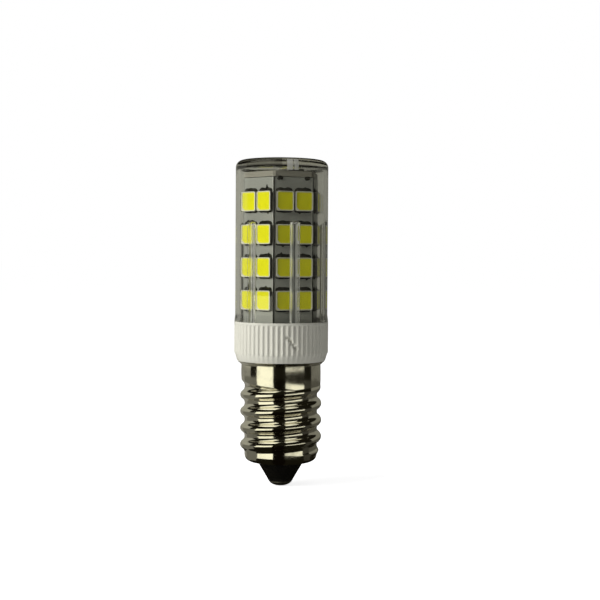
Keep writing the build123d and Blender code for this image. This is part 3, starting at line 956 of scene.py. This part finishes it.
class BULB_OT_diodes(bpy.types.Operator):
    """Builds the diodes: cases, phosphor pads and solder fillets on six faces and the top"""

    bl_idname = "fridge_bulb.diodes"
    bl_label = "Light emitting diodes"

    def execute(self, context):
        lamps = context.scene.bulb_lamps
        # The dark colour given for the case's side walls is painted shade.
        case_finish = diode_housing("diode case", lamps.case, (0.09, 0.087, 0.07))
        pad_finish = diode_pad("diode phosphor", lamps.pad, lamps.case)
        solder = dull_solder("diode solder")
        case, pad = diode_case(lamps), diode_phosphor(lamps)
        # The case's side rows get the painted shade, and the rest is clean rim.
        rim = np.zeros((*case.shape[:2], 2))
        rim[CASE_SHADED_SIDE_ROWS:] = 1
        sheet = pad[..., :2] / (2 * pad[..., :2].max(axis=(0, 1))) + 0.5
        for index in range(7):
            place = "top" if index == 6 else f"face_{index + 1}"
            seats = diode_seats(lamps, index)
            for name, node, shape, uv, finish, crease in (
                ("diode_cases", "led_housings", case, rim, case_finish, 35),
                ("diode_pads", "led_phosphors", pad, sheet, pad_finish, 60),
            ):
                points, faces = copies([shape] * len(seats), seats, False, True)
                uv = np.broadcast_to(uv, (len(seats), *uv.shape))
                new_piece(f"{name}_{place}", points, faces, finish, f"{node}_{place}", uv, crease)
            chance = np.random.default_rng(20 + index)
            ends = ((MOUND_HIGH_REACH, 1), (MOUND_LOW_REACH, -1))
            mounds = [solder_mound(lamps, chance, *end) for _ in seats for end in ends]
            points, faces = copies(mounds, [seat for seat in seats for _ in ends], True, False)
            new_piece(f"solder_fillets_{place}", points, faces, solder, f"led_solder_{place}", crease=70)
        return {"FINISHED"}


# Node, its material, colour and roughness.
PLAIN_PARTS = (
    ("film_capacitor", "film capacitor resin", (0.42, 0.07, 0.03), 0.3),
    ("bridge_rectifier", "rectifier moulding", (0.02, 0.02, 0.02), 0.45),
    ("live_wire", "live wire sleeve", (0.50, 0.03, 0.02), 0.5),
    ("neutral_wire", "neutral wire sleeve", (0.03, 0.03, 0.03), 0.5),
    ("led_wire_positive", "positive wire sleeve", (0.50, 0.03, 0.02), 0.5),
    ("led_wire_negative", "negative wire sleeve", (0.70, 0.70, 0.66), 0.5),
)
# Node, its material, ground and band colours, the bands' spacing, their share of it and their axis.
BANDED_PARTS = (
    ("smoothing_capacitor", "capacitor sleeve", (0.05, 0.05, 0.07), (0.55, 0.55, 0.56), 6 * MM, 0.2, "X"),
    ("bleed_resistor", "bleed resistor", (0.52, 0.40, 0.24), (0.25, 0.05, 0.02), 1.1 * MM, 0.3, "Z"),
    ("fuse_resistor", "fuse resistor", (0.16, 0.30, 0.36), (0.60, 0.45, 0.05), 1.4 * MM, 0.3, "Z"),
)


class BULB_OT_driver(bpy.types.Operator):
    """Finishes the driver board, its parts and the wires inside the base"""

    bl_idname = "fridge_bulb.driver"
    bl_label = "Driver"

    def execute(self, context):
        paint("driver_board", board_lacquer("driver board lacquer", (0.10, 0.24, 0.12)))
        for node, *finish in PLAIN_PARTS:
            paint(node, plain_plastic(*finish))
        for node, *finish in BANDED_PARTS:
            paint(node, banded_part(*finish))
        return {"FINISHED"}


FLOOR_HALF = 8.0
CARD_DISTANCE = 0.16
DARK_DISTANCE = 0.20
CARD_MIDDLE = 30 * MM
CARD_STEP = 0.05 * MM
WARM_LEFT = (1.15, 1.13, 0.90)
WARM_RIGHT = (1.00, 0.98, 0.80)
DARK = (0.008, 0.007, 0.004)
# Name, azimuths, elevations and colour.
STANDING_CARDS = (
    ("dark_room", (-180, 180), (-20, 89.9), DARK),
    ("left_card", (-72, -22), (-10.6, -0.6), WARM_LEFT),
    ("right_strip", (13, 69), (-5.8, -4.1), (1.0, 0.98, 0.82)),
    ("far_left_low", (180, 264), (-10.6, -6), (0.25, 0.244, 0.21)),
    ("far_left_side", (230, 264), (-6, 22), (0.36, 0.355, 0.30)),
    ("far_left_back", (180, 230), (-6, 22), (0.34, 0.335, 0.28)),
    ("far_right_low", (96, 180), (-10.6, -6), (0.16, 0.157, 0.133)),
    ("far_right_side", (96, 130), (-6, 22), (0.20, 0.196, 0.163)),
    ("far_right_back", (130, 180), (-6, 22), (0.21, 0.206, 0.173)),
    ("overhead_left", (-100, -22), (42, 75), WARM_LEFT),
    ("overhead_right", (13, 60), (42, 75), WARM_RIGHT),
)
# Name, azimuths, inner and outer radius, and colour.
LYING_CARDS = (
    ("dark_table", (-180, 180), (0, 0.21), DARK),
    ("left_sheet", (-72, -22), (0.027, 0.16), WARM_LEFT),
    ("middle_sheet", (-22, 13), (0.0, 0.16), (0.003, 0.002, 0.001)),
    ("left_grey", (-130, -72), (0.010, 0.16), (0.15, 0.146, 0.122)),
    ("right_sheet", (13, 69), (0.040, 0.113), WARM_RIGHT),
    ("right_grey", (69, 96), (0.010, 0.16), (0.04, 0.038, 0.03)),
    ("far_left_sheet", (180, 230), (0.02, 0.16), (0.27, 0.264, 0.23)),
    ("far_right_sheet", (96, 180), (0.02, 0.16), (0.08, 0.077, 0.063)),
)


def stage_sheet(name, points, material):
    """Sheet of the studio from a grid of points, which isn't part of the bulb."""
    mesh = bpy.data.meshes.new(name)
    mesh.from_pydata(points.reshape(-1, 3).tolist(), [], grid_faces(*points.shape[:2], False, False).tolist())
    mesh.materials.append(material)
    sheet = bpy.data.objects.new(name, mesh)
    bpy.context.scene.collection.objects.link(sheet)
    return sheet


def studio_card(name, points, level):
    """Studio card of one plain level that only shows in gloss and through the clear cover."""
    material, nodes = new_material(name)
    nodes.surface(nodes.add("ShaderNodeEmission", {}, {"Color": (*level, 1), "Strength": 1.0}))
    card = stage_sheet(name, points, material)
    card.visible_camera = False
    card.visible_diffuse = False
    card.visible_shadow = False


def standing_card(name, azimuths, elevations, level):
    """Card on part of a sphere about the bulb, the dark one behind the others.

    Azimuth runs to the right from the camera's side and elevation up from the bulb's middle, both in degrees.
    """
    across, up = np.meshgrid(np.radians(np.linspace(*azimuths, 33)), np.radians(np.linspace(*elevations, 17)))
    radius = DARK_DISTANCE if level == DARK else CARD_DISTANCE
    points = radius * np.stack([np.cos(up) * np.sin(across), -np.cos(up) * np.cos(across), np.sin(up)], -1)
    points[..., 2] += CARD_MIDDLE
    studio_card(name, points, level)


def lying_card(name, azimuths, radii, level):
    """Card on the floor, the dark one under the others: part of a flat ring, its azimuths as above."""
    across, out = np.meshgrid(np.radians(np.linspace(*azimuths, 33)), np.linspace(*radii, 5))
    height = CARD_STEP if level == DARK else 2 * CARD_STEP
    points = np.stack([out * np.sin(across), -out * np.cos(across), np.full_like(out, height)], -1)
    studio_card(name, points, level)


def show_white(nodes):
    """One for the rays that look at the background: from the camera, in gloss and through the cover."""
    rays = ("Is Camera Ray", "Is Glossy Ray", "Is Transmission Ray")
    camera, gloss, through = (nodes.add("ShaderNodeLightPath", output=ray) for ray in rays)
    return camera.higher(gloss).higher(through)


def pale_floor():
    """Plain pale floor that shows white and keeps the bulb's shadow."""
    level = 0.8
    material, nodes = new_material("pale floor")
    shown = show_white(nodes)
    matt = nodes.add("ShaderNodeBsdfDiffuse", {}, {"Color": (level, level, level, 1)})
    glow = nodes.add("ShaderNodeEmission", {}, {"Color": (1, 1, 1, 1), "Strength": shown * level})
    nodes.surface(nodes.add("ShaderNodeAddShader", {}, {0: matt, 1: glow}))
    across, along = np.meshgrid([-FLOOR_HALF, FLOOR_HALF], [-FLOOR_HALF, FLOOR_HALF])
    stage_sheet("floor", np.stack([across, along, np.zeros_like(across)], -1), material)


def plain_world(fill):
    """White behind everything that looks at it, and a plain soft level for what it lights."""
    world = bpy.data.worlds.new("studio")
    world.use_nodes = True
    bpy.context.scene.world = world
    nodes = Nodes(world.node_tree)
    shown = show_white(nodes)
    sky = nodes.add("ShaderNodeBackground", {}, {"Color": (1, 1, 1, 1), "Strength": shown * (1 - fill) + fill})
    nodes.add("ShaderNodeOutputWorld", {}, {"Surface": sky})


def soft_lamp(name, azimuth, elevation, distance, size, power):
    """Square soft lamp that looks at the bulb's middle."""
    across, up = math.radians(azimuth), math.radians(elevation)
    aim = Vector((math.cos(up) * math.sin(across), -math.cos(up) * math.cos(across), math.sin(up)))
    lamp = bpy.data.objects.new(name, bpy.data.lights.new(name, "AREA"))
    lamp.data.size = size
    lamp.data.energy = power
    lamp.location = aim * distance + Vector((0, 0, CARD_MIDDLE))
    lamp.rotation_euler = aim.to_track_quat("Z", "Y").to_euler()
    lamp.visible_glossy = False
    lamp.visible_transmission = False
    bpy.context.scene.collection.objects.link(lamp)


# Azimuth, elevation, distance and width of the lamp on the left.
KEY_PLACE = (-65, 25, 0.35, 0.22)
CAMERA_PITCH = 1.8
CAMERA_YAW = 0.921
CAMERA_ROLL = 0.36


class BULB_OT_studio(bpy.types.Operator):
    """Sets the pale floor, the white background, the lamp, the cards and the camera"""

    bl_idname = "fridge_bulb.studio"
    bl_label = "Studio"

    def execute(self, context):
        scene = context.scene
        studio = scene.bulb_studio
        pale_floor()
        plain_world(studio.fill)
        soft_lamp("key_lamp", *KEY_PLACE, studio.key)
        for name, azimuths, elevations, level in STANDING_CARDS:
            standing_card(name, azimuths, elevations, level)
        for name, azimuths, radii, level in LYING_CARDS:
            lying_card(name, azimuths, radii, level)
        camera = bpy.data.objects.new("camera", bpy.data.cameras.new("camera"))
        camera.data.lens = studio.lens
        camera.data.sensor_width = 36
        camera.data.clip_start = 0.01
        camera.location = (0, -studio.distance, studio.eye)
        camera.rotation_euler = Euler(
            [math.radians(angle) for angle in (90 - CAMERA_PITCH, -CAMERA_ROLL, -CAMERA_YAW)]
        )
        scene.collection.objects.link(camera)
        scene.camera = camera
        scene.view_settings.view_transform = "Standard"
        return {"FINISHED"}


class BULB_PT_panel(bpy.types.Panel):
    """Sizes and colours of the bulb, and the steps that build it"""

    bl_idname = "BULB_PT_panel"
    bl_label = "Fridge bulb"
    bl_space_type = "VIEW_3D"
    bl_region_type = "UI"
    bl_category = "Fridge bulb"

    def draw(self, context):
        for name, group in SETTINGS.items():
            box = self.layout.box()
            box.label(text=group.__doc__.rstrip("."))
            for key in group.__annotations__:
                box.prop(getattr(context.scene, name), key)
        for step in STEPS:
            self.layout.operator(step.bl_idname)


STEPS = (
    BULB_OT_shell,
    BULB_OT_collar,
    BULB_OT_cover,
    BULB_OT_tip,
    BULB_OT_boards,
    BULB_OT_diodes,
    BULB_OT_driver,
    BULB_OT_studio,
)


def register():
    for group in SETTINGS.values():
        bpy.utils.register_class(group)
    for step in (*STEPS, BULB_PT_panel):
        bpy.utils.register_class(step)
    for name, group in SETTINGS.items():
        setattr(bpy.types.Scene, name, bpy.props.PointerProperty(type=group))


def unregister():
    for name in SETTINGS:
        delattr(bpy.types.Scene, name)
    for step in (BULB_PT_panel, *reversed(STEPS)):
        bpy.utils.unregister_class(step)
    for group in reversed(SETTINGS.values()):
        bpy.utils.unregister_class(group)


def main():
    """Builds everything."""
    register()
    for step in STEPS:
        group, _, name = step.bl_idname.partition(".")
        getattr(getattr(bpy.ops, group), name)()


if __name__ == "__main__":
    main()
